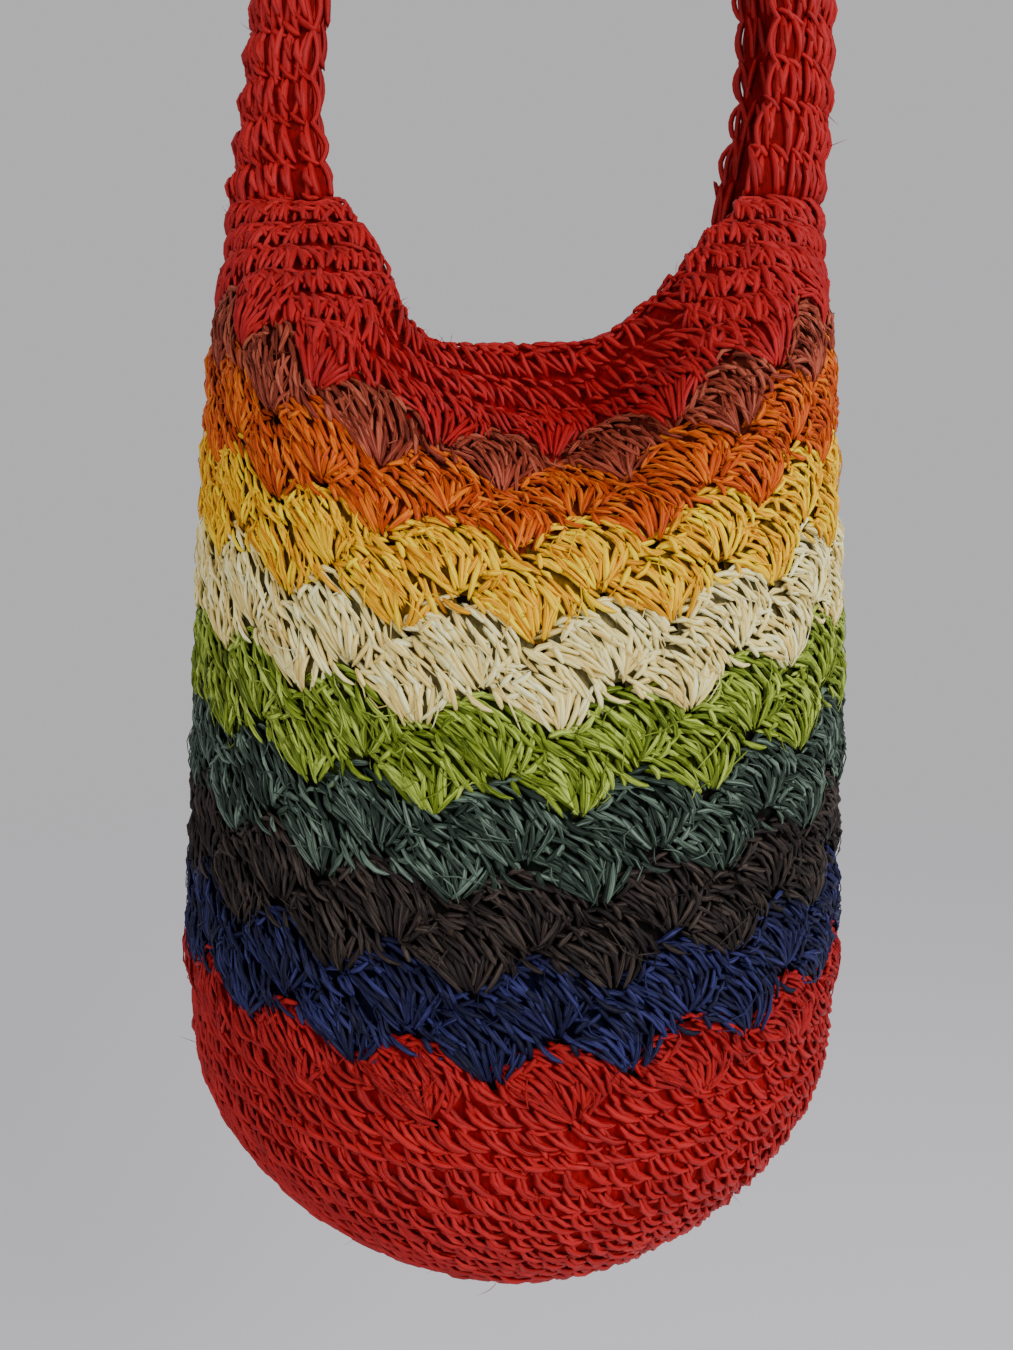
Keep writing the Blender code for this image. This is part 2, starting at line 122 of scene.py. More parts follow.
# The top edge: where each gore takes the strap, as shares of the round from the middle of the
# front, and the free edge between the gores.
STRAP_SHARE = 0.122
RIGHT_SIDE = 0.25
LEFT_SIDE = 0.75
Edge = namedtuple("Edge", "share x y z")
FREE_EDGE = (
    Edge(0.000, 0.0000, -0.0370, -0.4275),
    Edge(0.045, 0.0310, -0.0370, -0.4250),
    Edge(0.085, 0.0510, -0.0370, -0.4100),
    Edge(0.125, 0.0700, -0.0340, -0.3890),
    Edge(0.160, 0.0840, -0.0260, -0.3740),
    Edge(0.345, 0.0740, 0.0330, -0.3840),
    Edge(0.400, 0.0560, 0.0520, -0.4010),
    Edge(0.450, 0.0320, 0.0640, -0.4230),
    Edge(0.500, 0.0000, 0.0680, -0.4300),
    Edge(0.550, -0.0280, 0.0640, -0.4240),
    Edge(0.600, -0.0470, 0.0520, -0.4060),
    Edge(0.655, -0.0590, 0.0330, -0.3850),
    Edge(0.845, -0.0580, -0.0300, -0.3860),
    Edge(0.875, -0.0510, -0.0360, -0.3980),
    Edge(0.910, -0.0455, -0.0390, -0.4150),
    Edge(0.950, -0.0330, -0.0400, -0.4270),
)
YOKE_ROUNDS = 2.9  # height of the red edge and gores, in rounds of the shells
YOKE_LEAN = 1.5  # rounds of the body's own slope that they keep before they turn in


def smooth_curve(places, rows, where):
    """A curve through the rows at their places with no corner, read at one place or many."""
    places, rows = np.asarray(places, float), np.asarray(rows, float)
    where = np.asarray(where, float)
    slopes = np.gradient(rows, places, axis=0)
    i = np.clip(np.searchsorted(places, where) - 1, 0, len(places) - 2)
    step = places[i + 1] - places[i]
    t = np.clip((where - places[i]) / step, 0.0, 1.0)
    if rows.ndim > 1:
        step, t = step[..., None], t[..., None]
    start = (1 + 2 * t) * (1 - t) ** 2 * rows[i] + t * (1 - t) ** 2 * step * slopes[i]
    end = t * t * (3 - 2 * t) * rows[i + 1] + t * t * (t - 1) * step * slopes[i + 1]
    return start + end


def round_of_bag(a_round, shares):
    """Points at shares of the way round the bag, at one of its rounds."""
    s = Section(*smooth_curve([s.round for s in SECTIONS], SECTIONS, a_round))
    turns = np.linspace(-0.5, 1.5, 361) * math.pi
    xs = s.half_width * np.cos(turns)
    ys = np.where(np.sin(turns) < 0, s.front, s.back) * np.sin(turns)
    lengths = np.concatenate([[0.0], np.cumsum(np.hypot(np.diff(xs), np.diff(ys)))])
    where = (shares % 1.0) * lengths[-1]
    x, y = np.interp(where, lengths, xs), np.interp(where, lengths, ys)
    y += np.where(y < 0, s.dent * np.exp(-(((x - DENT_MIDDLE) / DENT_HALF_WIDTH) ** 2)), 0.0)
    fall = s.sag * (1 - (x / s.half_width) ** 2)
    return np.stack([x + s.shift, y, -s.drop - fall], axis=-1)


def round_of_cup(climb, shares):
    """The same round the cup, from its middle, 0, to the first round of shells, 1."""
    s = SECTIONS[-1]
    rim = round_of_bag(s.round, shares)
    reach = math.sin(climb * 0.5 * math.pi) ** (2 / CUP_FULLNESS)
    depth = CUP_DEPTH * math.cos(climb * 0.5 * math.pi) ** (2 / CUP_FULLNESS)
    middle = np.array([s.shift + CUP_MIDDLE_SHIFT * (1 - reach), 0.5 * (s.back - s.front), 0.0])
    flat = middle + (rim - middle) * reach
    flat[:, 2] = rim[:, 2] * reach + (-s.drop - s.sag) * (1 - reach) - depth
    return flat


def strap_section(along, acrosses):
    """Points over the strap from its front edge, -1, to its back edge, 1."""
    rows = np.array(STRAP)
    places = np.concatenate([[0.0], np.cumsum(np.hypot(np.diff(rows[:, 0]), np.diff(rows[:, 1])))])
    where = along * places[-1]
    here = Station(*smooth_curve(places, rows, where))
    before = smooth_curve(places, rows, max(where - TANGENT_REACH, 0.0))
    after = smooth_curve(places, rows, min(where + TANGENT_REACH, places[-1]))
    tangent = (after - before)[:2] / np.hypot(*(after - before)[:2])
    upright = min(where, places[-1] - where) / ROOT_LENGTH
    if upright < 1:
        level = np.array([0.0, 1.0 if along < 0.5 else -1.0])
        tangent = tangent * upright + level * (1 - upright)
        tangent /= np.hypot(*tangent)
    turns = acrosses * 0.5 * math.pi
    sideways = np.sign(turns) * abs(np.sin(turns)) ** LEAF_ROUNDNESS * 0.5 * here.spread
    reach = np.where(acrosses > 0, here.back, here.front)
    inward = reach * (1 - np.maximum(np.cos(turns), 0.0) ** LEAF_ROUNDNESS)
    outward = np.array([tangent[1], 0.0, -tangent[0]])
    points = np.array([here.x, 0.0, here.z]) - outward * inward[:, None]
    points[:, 1] += sideways
    return points


def top_edge(shares):
    """The strap's roots where they are, and the free edge between them."""
    half = 0.5 * STRAP_SHARE
    corners = []
    for side, along, turned in ((RIGHT_SIDE, 0.0, 1), (LEFT_SIDE, 1.0, -1)):
        for end in (-1, 1):
            point = strap_section(along, np.array([end * turned * 1.0]))[0]
            corners.append(Edge(side + end * half, *point))
    rows = sorted([*FREE_EDGE, *corners], key=lambda e: e.share)
    before = [e._replace(share=e.share - 1) for e in rows[-2:]]
    after = [e._replace(share=e.share + 1) for e in rows[:2]]
    rows = np.array([*before, *rows, *after])
    points = smooth_curve(rows[:, 0], rows[:, 1:], shares % 1.0)
    for side, along, turned in ((RIGHT_SIDE, 0.0, 1), (LEFT_SIDE, 1.0, -1)):
        across = (shares % 1.0 - side) / half * turned
        root = strap_section(along, np.clip(across, -1.0, 1.0))
        points = np.where((abs(across) <= 1.0)[:, None], root, points)
    return points


def ring_of_body(height, shares):
    """Height is 0 in the middle of the cup, 1 at round 17, then a unit a round, then the edge."""
    if height <= 1.0:
        return round_of_cup(height, shares)
    if height <= ROUNDS_TOP:
        return round_of_bag(ROUNDS_TOP - height, shares)
    climb = height - ROUNDS_TOP
    start = round_of_bag(0.0, shares)
    bend = start + (start - round_of_bag(1.0, shares)) * YOKE_LEAN
    return (1 - climb) ** 2 * start + 2 * climb * (1 - climb) * bend + climb**2 * top_edge(shares)


def drift_at(height):
    """How far the stitches have turned by a height, as a share of the round."""
    a_round = np.clip(ROUNDS_TOP - height, 0.0, ROUNDS)
    return (DRIFT_AT_TOP + DRIFT_PER_ROUND * a_round) / SHELLS_PER_ROUND


class Cloth:
    """A sheet known at a fine grid of places, read between them with its outward direction."""

    def __init__(self, us, vs, points):
        self.us, self.vs = us, vs
        along_u = np.gradient(points, us, axis=1)
        along_v = np.gradient(points, vs, axis=0)
        out = np.cross(along_u, along_v)
        out /= np.linalg.norm(out, axis=-1, keepdims=True)
        sizes = [np.linalg.norm(d, axis=-1, keepdims=True) for d in (along_u, along_v)]
        self.table = np.concatenate([points, out, *sizes], axis=-1)

    def read(self, u, v):
        """Place, outward direction, and metres to a unit of u and of v."""
        i, s = self.between(self.us, u)
        j, t = self.between(self.vs, v)
        low = self.table[j, i] * (1 - s) + self.table[j, i + 1] * s
        high = self.table[j + 1, i] * (1 - s) + self.table[j + 1, i + 1] * s
        found = low * (1 - t) + high * t
        out = found[..., 3:6]
        out /= np.linalg.norm(out, axis=-1, keepdims=True)
        return found[..., :3], out, found[..., 6], found[..., 7]

    @staticmethod
    def between(marks, where):
        i = np.clip(np.searchsorted(marks, where, side="right") - 1, 0, len(marks) - 2)
        return i, np.clip((where - marks[i]) / (marks[i + 1] - marks[i]), 0.0, 1.0)[..., None]


class Body(Cloth):
    """The bag's cloth, with u as the share of the round that turns with the stitches."""

    def __init__(self):
        us = np.arange(-4, 389) / 384
        vs = np.concatenate([
            np.linspace(0.02, 1.0, 90)[:-1],
            np.linspace(1.0, ROUNDS_TOP, 205)[:-1],
            np.linspace(ROUNDS_TOP, BODY_TOP, 40),
        ])
        super().__init__(us, vs, np.array([ring_of_body(v, us + drift_at(v)) for v in vs]))

    def read(self, u, v):
        return super().read(np.asarray(u) % 1.0, v)


body = Body()

# A shell, in its own millimetres from its foot, which its stitches are laid out in.
SHELL_WIDTH = 48.0
ROUND_RISE = 16.8  # from one round's feet to the next
SHELL_REACH = 30.5
SHELL_SPREAD = 56.0  # degrees, from the middle stitch to the outermost
SHELL_TIP = 0.62  # how wide a shell is near its foot, as a share of one with straight sides
SWELL_START = 1.6  # height on the body where the shells begin to stand proud


def swell(x, y):
    """How far a shell stands proud at a place in it, in millimetres."""
    reach = np.hypot(x, y) / SHELL_REACH
    turn = np.degrees(np.arctan2(x, np.maximum(y, 0.1)))
    reaches = [0.0, 0.12, 0.35, 0.62, 0.85, 1.05, 1.3]
    crown = np.interp(reach, reaches, [0.9, 1.7, 2.8, 2.9, 1.4, -0.9, -1.6])
    return crown - 1.6 * np.clip(abs(turn) / SHELL_SPREAD, 0.0, 1.2) ** 3 * np.clip(reach * 2, 0.0, 1.0)


def place_in_shell(u, v):
    """The round whose shell covers a place on the body, and the place in that shell."""
    level = np.floor(v)
    up = v - level
    stagger = np.where((ROUNDS_TOP - level) % 2 == 1, 0.0, 0.5)
    across = ((u * SHELLS_PER_ROUND - stagger + 0.5) % 1.0 - 0.5) * 2
    below = abs(across) > up * (SHELL_TIP + (1 - SHELL_TIP) * up)
    across = np.where(below, across - np.sign(across), across)
    up = np.where(below, up + 1.0, up)
    a_round = ROUNDS_TOP - level + below
    return a_round, across * 0.5 * SHELL_WIDTH, up * ROUND_RISE


def rounds_up(v):
    """Height in rounds, also in the red edge, whose whole height is one unit."""
    return np.where(v > ROUNDS_TOP, ROUNDS_TOP + (v - ROUNDS_TOP) * YOKE_ROUNDS, v)


def units_up(rounds):
    """The other way about, from rounds to the body's units."""
    return np.where(rounds > ROUNDS_TOP, ROUNDS_TOP + (rounds - ROUNDS_TOP) / YOKE_ROUNDS, rounds)


def shell_relief(u, v, x, y):
    """The swell in metres, which fades out towards the base and the gores."""
    fade = np.clip(v - SWELL_START, 0.0, 1.0) * np.clip((BODY_TOP - 0.5 - v) / 0.2, 0.0, 1.0)
    return swell(x, y) * 0.001 * fade


def body_relief(u, v, x=None, y=None):
    """How far the bag's cloth stands proud at any place on it, in metres."""
    a_round, x, y = place_in_shell(u, rounds_up(v))
    return np.where((a_round >= 0) & (a_round < ROUNDS), shell_relief(u, v, x, y), 0.0)


# last_round: the last round that a yarn works, counted down from the red edge. Below the last
# of them the red comes back. gap: how bright its matted backs are between the raised stitches,
# where below 1 they are darkened as painted shade. The three colours are of its darkest, usual
# and lightest string.
Dye = namedtuple("Dye", "name last_round gap dark usual light")
DYES = (
    Dye("red", 0, 1.00, (140, 15, 18), (165, 15, 20), (180, 30, 31)),
    Dye("brown", 1, 0.50, (86, 25, 13), (146, 54, 34), (190, 98, 72)),
    Dye("orange", 3, 0.34, (152, 44, 0), (202, 78, 4), (234, 130, 16)),
    Dye("yellow", 5, 0.24, (196, 122, 0), (255, 190, 0), (255, 234, 30)),
    Dye("cream", 7, 0.22, (222, 188, 104), (255, 238, 152), (255, 255, 210)),
    Dye("lime", 9, 0.24, (64, 82, 6), (124, 144, 28), (194, 214, 100)),
    Dye("forest", 11, 0.38, (16, 28, 20), (44, 60, 48), (116, 136, 120)),
    Dye("black", 13, 0.50, (16, 9, 8), (30, 21, 18), (74, 62, 54)),
    Dye("navy", 15, 0.50, (6, 6, 30), (12, 14, 54), (50, 52, 108)),
)


def linear(colour, share=1.0):
    """A paint colour of 0 to 255 as the shader wants it, or a darker share of it."""
    parts = [c / 255 for c in colour]
    parts = [c / 12.92 if c <= 0.04045 else ((c + 0.055) / 1.055) ** 2.4 for c in parts]
    return (*(c * share for c in parts), 1.0)


class Wire:
    """An output of a shader node, written in plain arithmetic."""

    def __init__(self, tree, socket):
        self.tree, self.socket = tree, socket

    def node(self, kind, settings=None, inputs=None, output=0):
        """Any other node, from its type, its settings, and the values or wires of its sockets."""
        made = self.tree.nodes.new(kind)
        for name, value in (settings or {}).items():
            if name == "stops":
                made.color_ramp.elements.remove(made.color_ramp.elements[0])
                made.color_ramp.elements[0].position = value[0][0]
                made.color_ramp.elements[0].color = value[0][1]
                for place, colour in value[1:]:
                    made.color_ramp.elements.new(place).color = colour
            else:
                setattr(made, name, value)
        for name, value in (inputs or {}).items():
            if isinstance(value, Wire):
                self.tree.links.new(value.socket, made.inputs[name])
            else:
                made.inputs[name].default_value = value
        return Wire(self.tree, made.outputs[output])

    def sum_with(self, operation, first, second):
        return self.node("ShaderNodeMath", {"operation": operation}, {0: first, 1: second})

    def __add__(self, other):
        return self.sum_with("ADD", self, other)

    def __sub__(self, other):
        return self.sum_with("SUBTRACT", self, other)

    def __rsub__(self, other):
        return self.sum_with("SUBTRACT", other, self)

    def __mul__(self, other):
        return self.sum_with("MULTIPLY", self, other)

    __radd__, __rmul__ = __add__, __mul__


def new_material(name, roughness, gloss=0.3):
    """A material, its shader, and a wire to start its other nodes from."""
    material = bpy.data.materials.new(name)
    material.use_nodes = True
    shader = material.node_tree.nodes["Principled BSDF"]
    shader.inputs["Roughness"].default_value = roughness
    shader.inputs["Specular IOR Level"].default_value = gloss
    start = Wire(material.node_tree, shader.outputs[0])
    return material, shader, start


def feed(wire, shader, socket):
    wire.tree.links.new(wire.socket, shader.inputs[socket])


def packed_string(name, dye, share):
    """The matted backs of the stitches: short crossing streaks, darker by a share as painted shade."""
    material, shader, start = new_material(name, 0.9, 0.1)
    place = start.node("ShaderNodeTexCoord", output=3)
    steep = start.node("ShaderNodeMapping", None, {
        "Vector": place, "Rotation": (0.0, 0.0, 0.5), "Scale": (900, 900, 260)
    })
    grain = start.node("ShaderNodeTexNoise", None, {"Vector": steep, "Scale": 1.0, "Detail": 2.0})
    blots = start.node("ShaderNodeTexNoise", None, {"Vector": place, "Scale": 170.0, "Detail": 1.0})
    stops = ((0.3, linear(dye.dark, 0.5 * share)), (0.7, linear(dye.usual, share)))
    colour = start.node("ShaderNodeValToRGB", {"stops": stops}, {"Fac": grain * 0.6 + blots * 0.4})
    feed(colour, shader, "Base Color")
    bump = start.node("ShaderNodeBump", None, {"Height": grain, "Strength": 0.6, "Distance": 0.001})
    feed(bump, shader, "Normal")
    return material


INSIDE_SHADE = 0.75
CLOTH_BACK = 0.0018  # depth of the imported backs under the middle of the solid's cloth
CLOTH_FRONT = 0.0002
CLOTH_SINK = 0.0008  # how much deeper it is under the shells, so that their strands stand clear
CLOTH_HIGHEST = 0.002
CLOTH_COLUMNS = 160
# The hole under each shell's foot is not cut: its outer faces are painted dark, in the black yarn's colours
# at HOLE_SHADE, as painted shade.
HOLE = 0.2  # height of the hole under each shell's foot, in rounds, with a column's width
HOLE_SHADE_DYE = DYES[7]  # the black one, for how dark it is in there
HOLE_SHADE = 0.5


def dye_of(u, v):
    """Index of the yarn at places on the body."""
    a_round, _, _ = place_in_shell(u, rounds_up(v))
    lasts = [dye.last_round for dye in DYES]
    found = np.searchsorted(lasts, a_round)
    return np.where(a_round > lasts[-1], 0, found)


def in_hole(u, v):
    """Whether a place is in the small hole under the foot of a shell."""
    above = math.ceil(v)
    stagger = 0.0 if (ROUNDS_TOP - above) % 2 else 0.5
    aside = (u * SHELLS_PER_ROUND - stagger + 0.5) % 1.0 - 0.5
    return 1.5 < v < ROUNDS_TOP and above - v < HOLE and abs(aside) < 0.02


def body_cloth():
    """The closed sheet between its outer side, which follows the shells, and its inner side."""
    cup, rounds = np.linspace(0.06, 1.0, 18)[:-1], np.arange(1.0, ROUNDS_TOP, HOLE)
    heights = [*cup, *rounds, *np.linspace(ROUNDS_TOP, BODY_TOP, 12)]
    us = (np.arange(CLOTH_COLUMNS) + 0.5) / CLOTH_COLUMNS
    us, vs = np.meshgrid(us, heights)
    places, outs, _, _ = body.read(us, vs)
    offsets = CLOTH_FRONT + body_relief(us, vs) - CLOTH_SINK * np.clip(vs - SWELL_START, 0.0, 1.0)
    offsets = np.minimum(offsets, CLOTH_HIGHEST)
    front = places + outs * offsets[..., None]
    back = places - outs * CLOTH_BACK
    rows, columns = us.shape
    vertices = [*front.reshape(-1, 3), *back.reshape(-1, 3)]
    faces, slots = [], []

    def add(corners, u, v, side):
        faces.append(corners)
        slots.append(int(dye_of(np.array(u), np.array(v))) * 2 + side)

    half = rows * columns
    for j in range(rows - 1):
        for i in range(columns):
            a, b = j * columns + i, j * columns + (i + 1) % columns
            u, v = us[j, i] + 0.5 / columns, 0.5 * (vs[j, i] + vs[j + 1, i])
            add((a, b, b + columns, a + columns), u, v, 0)
            # faces in the hole take the painted hole shade instead of their yarn
            if in_hole(u, v):
                slots[-1] = len(DYES) * 2
            add((half + a + columns, half + b + columns, half + b, half + a), u, v, 1)
    for i in range(columns):
        a, b = (rows - 1) * columns + i, (rows - 1) * columns + (i + 1) % columns
        add((a, b, half + b, half + a), us[0, i], BODY_TOP, 0)
    add(tuple(range(columns - 1, -1, -1)), 0.0, 0.0, 0)
    add(tuple(range(half, half + columns)), 0.0, 0.0, 1)
    mesh = bpy.data.meshes.new("bag_cloth")
    mesh.from_pydata(vertices, [], faces)
    mesh.polygons.foreach_set("material_index", slots)
    # The outer faces take the dye's gap share, painted shade between the raised stitches; the inner faces
    # take INSIDE_SHADE.
    for dye in DYES:
        mesh.materials.append(packed_string(f"{dye.name}_painted_shade", dye, dye.gap))
        mesh.materials.append(packed_string(f"{dye.name}_inside", dye, INSIDE_SHADE))
    mesh.materials.append(packed_string("painted_hole_shade", HOLE_SHADE_DYE, HOLE_SHADE))
    mesh.shade_smooth()
    made = bpy.data.objects.new("bag_cloth", mesh)
    bpy.context.scene.collection.objects.link(made)
    return made


bag_cloth = body_cloth()
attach(bag_cloth, "root")
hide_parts("bag_body")
bag_pieces = []


# The base: plain red rounds of slanting stitches, each with two steep legs and a foot that
# swings under the next stitch, and a small dark hole between one stitch and the next.

# spread, turn: the strand's middle is at that share of the stitch's ray and turn degrees on.
# reach: how far along it, in mm. follow, lean: the strand points lean degrees from upright and
# follows that share of the ray. bow: its sideways curve, lift: its height above the cloth, and
# arch: how much more in its middle, all in mm.
Strand = namedtuple("Strand", "spread turn reach follow lean length bow thick lift arch points")
FLATNESS = 0.8  # a strand's thickness as a share of its width
CORD_POINTS = 9  # a path of this many points or more is a cord, as thick at its ends as between
UNEVEN = 0.5  # how far stitches are out of place, in mm
FOOT_WIDTH = 4.6  # of the tight foot where a shell's stitches meet, in mm


class Yarn:
    """String of one dye: strands are gathered, then made into one mesh."""

    sides = 4

    def __init__(self, dye):
        self.dye = dye
        self.paths = []

    def lay(self, places, outs, thick):
        """Strands along rows of places. thick is each strand's thickness in metres."""
        self.paths.append((places, outs, np.broadcast_to(thick, places.shape[:1])))

    def object(self, name, material):
        """One mesh of all the strands, with a patch of the string's map and a tone for each."""
        total = sum(len(places) for places, _, _ in self.paths)
        cells = math.ceil(math.sqrt(total))
        vertices, faces, uvs, tones = [], [], [], []
        first_strand = first_vertex = 0
        for places, outs, thick in self.paths:
            strands, points, _ = places.shape
            made = self.tubes(places, outs, thick)
            vertices.append(made.reshape(-1, 3))
            pattern, marks = self.pattern(points)
            starts = first_vertex + np.arange(strands) * made.shape[1]
            for corners in pattern:
                faces.extend((starts[:, None] + np.array(corners)).tolist())
            cell = first_strand + np.arange(strands)
            corner = np.stack([cell % cells, cell // cells], axis=-1) + 0.06
            for mark in marks:
                uvs.append(((corner[:, None] + 0.88 * np.array(mark)) / cells).reshape(-1, 2))
            tones.append(np.repeat(chance.random(strands), made.shape[1]))
            first_vertex += strands * made.shape[1]
            first_strand += strands
        mesh = bpy.data.meshes.new(name)
        mesh.from_pydata(np.concatenate(vertices).tolist(), [], faces)
        layer = mesh.uv_layers.new(name="OFBake")
        layer.data.foreach_set("uv", np.concatenate(uvs).ravel())
        tone = mesh.attributes.new("tone", "FLOAT", "POINT")
        tone.data.foreach_set("value", np.concatenate(tones))
        mesh.materials.append(material)
        mesh.shade_smooth()
        made = bpy.data.objects.new(name, mesh)
        bpy.context.scene.collection.objects.link(made)
        return made

    def tubes(self, places, outs, thick):
        """Rings round each strand, thickest in the middle and drawn to a point at each end, or
        round each cord, as thick all along."""
        points = places.shape[1]
        s = np.sin(np.linspace(-0.5, 0.5, points) * math.pi)
        girth = np.ones(points) if points >= CORD_POINTS else np.maximum(1 - s * s, 0.0) ** 0.5
        ahead = np.gradient(places, axis=1)
        side = np.cross(ahead, outs)
        side /= np.linalg.norm(side, axis=-1, keepdims=True)
        up = np.cross(side, ahead)
        up /= np.linalg.norm(up, axis=-1, keepdims=True)
        radius = 0.5 * thick[:, None, None, None] * girth[None, :, None, None]
        turns = np.arange(self.sides) / self.sides * 2 * math.pi
        ring = np.cos(turns)[:, None] * side[:, :, None] + FLATNESS * np.sin(turns)[:, None] * up[:, :, None]
        rings = places[:, :, None] + ring * radius
        middle = rings[:, 1:-1].reshape(len(places), -1, 3)
        return np.concatenate([places[:, :1], middle, places[:, -1:]], axis=1)

    def pattern(self, points):
        """Corners of one strand's faces, and each corner's place along and round the strand."""
        rings, n = points - 2, self.sides
        last = 1 + rings * n
        corners, marks = [], []
        for k in range(n):
            after = (k + 1) % n
            corners.append((0, 1 + after, 1 + k))
            marks.append(((0, (k + 0.5) / n), (1 / (points - 1), (k + 1) / n), (1 / (points - 1), k / n)))
            for r in range(rings - 1):
                a, b = 1 + r * n + k, 1 + r * n + after
                corners.append((a, b, b + n, a + n))
                low, high = (r + 1) / (points - 1), (r + 2) / (points - 1)
                marks.append(((low, k / n), (low, (k + 1) / n), (high, (k + 1) / n), (high, k / n)))
            a, b = 1 + (rings - 1) * n + k, 1 + (rings - 1) * n + after
            end = 1 - 1 / (points - 1)
            corners.append((last, a, b))
            marks.append(((1, (k + 0.5) / n), (end, k / n), (end, (k + 1) / n)))
        return corners, marks


def string(dye):
    """Lightly twisted plant fibre with a soft gloss: fine streaks along each strand."""
    material, shader, start = new_material(f"{dye.name}_string", 0.5, 0.22)
    place = start.node("ShaderNodeUVMap", {"uv_map": "OFBake"})
    drawn = start.node("ShaderNodeMapping", None, {
        "Vector": place, "Rotation": (0, 0, 0.12), "Scale": (90, 520, 1)
    })
    streak = start.node("ShaderNodeTexNoise", None, {
        "Vector": drawn, "Scale": 1.0, "Detail": 3.0, "Roughness": 0.6
    })
    tone = start.node("ShaderNodeAttribute", {"attribute_name": "tone"}, output=2)
    stops = ((0.12, linear(dye.dark)), (0.5, linear(dye.usual)), (0.9, linear(dye.light)))
    shade = tone * 0.56 + (streak - 0.5) * 2.2 + 0.22
    colour = start.node("ShaderNodeValToRGB", {"stops": stops}, {"Fac": shade})
    feed(colour, shader, "Base Color")
    feed(streak * 0.35 + 0.36, shader, "Roughness")
    bump = start.node("ShaderNodeBump", None, {"Height": streak, "Strength": 0.8, "Distance": 0.0007})
    feed(bump, shader, "Normal")
    return material


def work(
    yarn, cloth, feet, scale, rays, strands, relief, settle=None, side=1, loose=1.0, slant=(0.0, 0.0)
):
    """Lays each strand of each ray of each stitch on a cloth.

    feet: u and v of the stitches. scale: units of u and v to a millimetre of the stitch.
    rays: degrees from upright. relief: of the cloth, in metres, at u and v, which are x and y
    millimetres from the stitch's foot. settle: turns heights on the stitches' own scale into v.
    side: -1 lays them on the inner side. loose: how uneven they are, and 1 is a firm stitch.
    slant: u to a millimetre up, and v to one across."""
    u, v = (np.asarray(a, float)[:, None, None, None] for a in feet)
    mm_u, mm_v, up_u, across_v = (
        np.broadcast_to(a, u.shape[:1])[:, None, None, None] for a in (*scale, *slant)
    )
    u = u + chance.normal(0, UNEVEN, u.shape) * mm_u
    v = v + chance.normal(0, UNEVEN, v.shape) * mm_v
    rays = np.asarray(rays, float)[None, :, None, None]
    for points in sorted({strand.points for strand in strands}):
        group = [strand for strand in strands if strand.points == points]
        size = (len(feet[0]), rays.shape[1], len(group), 1)
        spread, turn, reach, follow, lean, length, bow, thick, lift, arch = (
            np.array([strand[c] for strand in group])[None, None, :, None] for c in range(10)
        )
        s = np.sin(np.linspace(-0.5, 0.5, points) * math.pi)[None, None, None, :]
        angle = np.radians(spread * rays + turn + chance.normal(0, 2.5 * loose, size))
        reach = reach + chance.normal(0, 0.7 * loose, size)
        tilt = np.radians(follow * rays + lean + chance.normal(0, 7.0 * loose, size))
        length = length * (1 + chance.normal(0, 0.09 * loose, size))
        bow = bow + chance.normal(0, 0.5 * loose, size)
        out = s * 0.5 * length
        aside = bow * (1 - s * s)
        x = reach * np.sin(angle) + out * np.sin(tilt) + aside * np.cos(tilt) + FOOT_WIDTH * rays / 90
        y = reach * np.cos(angle) + out * np.cos(tilt) - aside * np.sin(tilt)
        at_u, at_v = u + x * mm_u + y * up_u, v + y * mm_v + x * across_v
        if settle:
            at_v = settle(at_v)
        places, outs, _, _ = cloth.read(at_u, at_v)
        lift = lift + arch * (1 - s * s) + chance.normal(0, 0.25, size)
        height = relief(at_u, at_v, x, y) + 0.001 * lift * side
        places = places + outs * height[..., None]
        thick = np.broadcast_to(thick * (1 + chance.normal(0, 0.08, size)), size) * 0.001
        shape = (-1, points, 3)
        yarn.lay(places.reshape(shape), outs.reshape(shape), thick.ravel())


BASE_STITCH = (
    #      spread turn reach follow lean length bow thick lift arch points
    Strand(0, 25, 5.0, 0, -48, 14.0, -2.7, 2.6, 1.2, 1.0, 6),
    Strand(0, 33, 6.4, 0, -42, 11.5, -1.9, 2.5, 0.8, 0.8, 5),
    Strand(0, -4, 8.0, 0, -16, 8.5, 0.3, 2.3, 0.5, 0.6, 5),
    Strand(0, 100, 3.0, 0, 84, 8.5, 0.8, 2.1, 0.4, 0.5, 5),
)
BASE_STITCH_WIDTH = 7.6  # in mm
BASE_ROUND_RISE = 9.2
BASE_RING = 3.0  # radius of the ring that the first round is worked into


def plain_rounds(yarn, highest):
    """Rounds from a height down to the middle of the cup, with fewer stitches in each. The
    highest only fill the spaces between the feet of the last shells."""
    us = np.linspace(0, 1, 64, endpoint=False)
    vs = np.linspace(0.03, highest + 1, 500)
    climbs = np.array([body.read(us, np.full(64, v))[3].mean() for v in vs]) * 1000
    climbs = np.concatenate([[0.0], np.cumsum(0.5 * (climbs[1:] + climbs[:-1]) * np.diff(vs))])

    def settle(climb):
        return np.interp(climb, climbs, vs)

    for climb in np.arange(np.interp(highest, vs, climbs), BASE_RING, -BASE_ROUND_RISE):
        v = settle(climb)
        around = body.read(us, np.full(64, v))[2].mean() * 1000
        count = max(round(around / BASE_STITCH_WIDTH), 5)
        feet_u = (np.arange(count) + chance.random()) / count
        feet_u = feet_u[place_in_shell(feet_u, v + 0.2)[0] >= ROUNDS]
        feet = (feet_u, np.full(len(feet_u), climb))
        work(yarn, body, feet, (1 / around, 1.0), [0], BASE_STITCH, body_relief, settle)


red = DYES[0]
red_string = string(red)
base_yarn = Yarn(red)
plain_rounds(base_yarn, 2.5)
base_stitches = base_yarn.object("base_stitches", red_string)
bag_pieces.append(base_stitches)


# The shells: sixteen fans of nine tall stitches in each round, worked into one hole, so their
# legs draw together at the bottom and their tops make a scalloped chain.

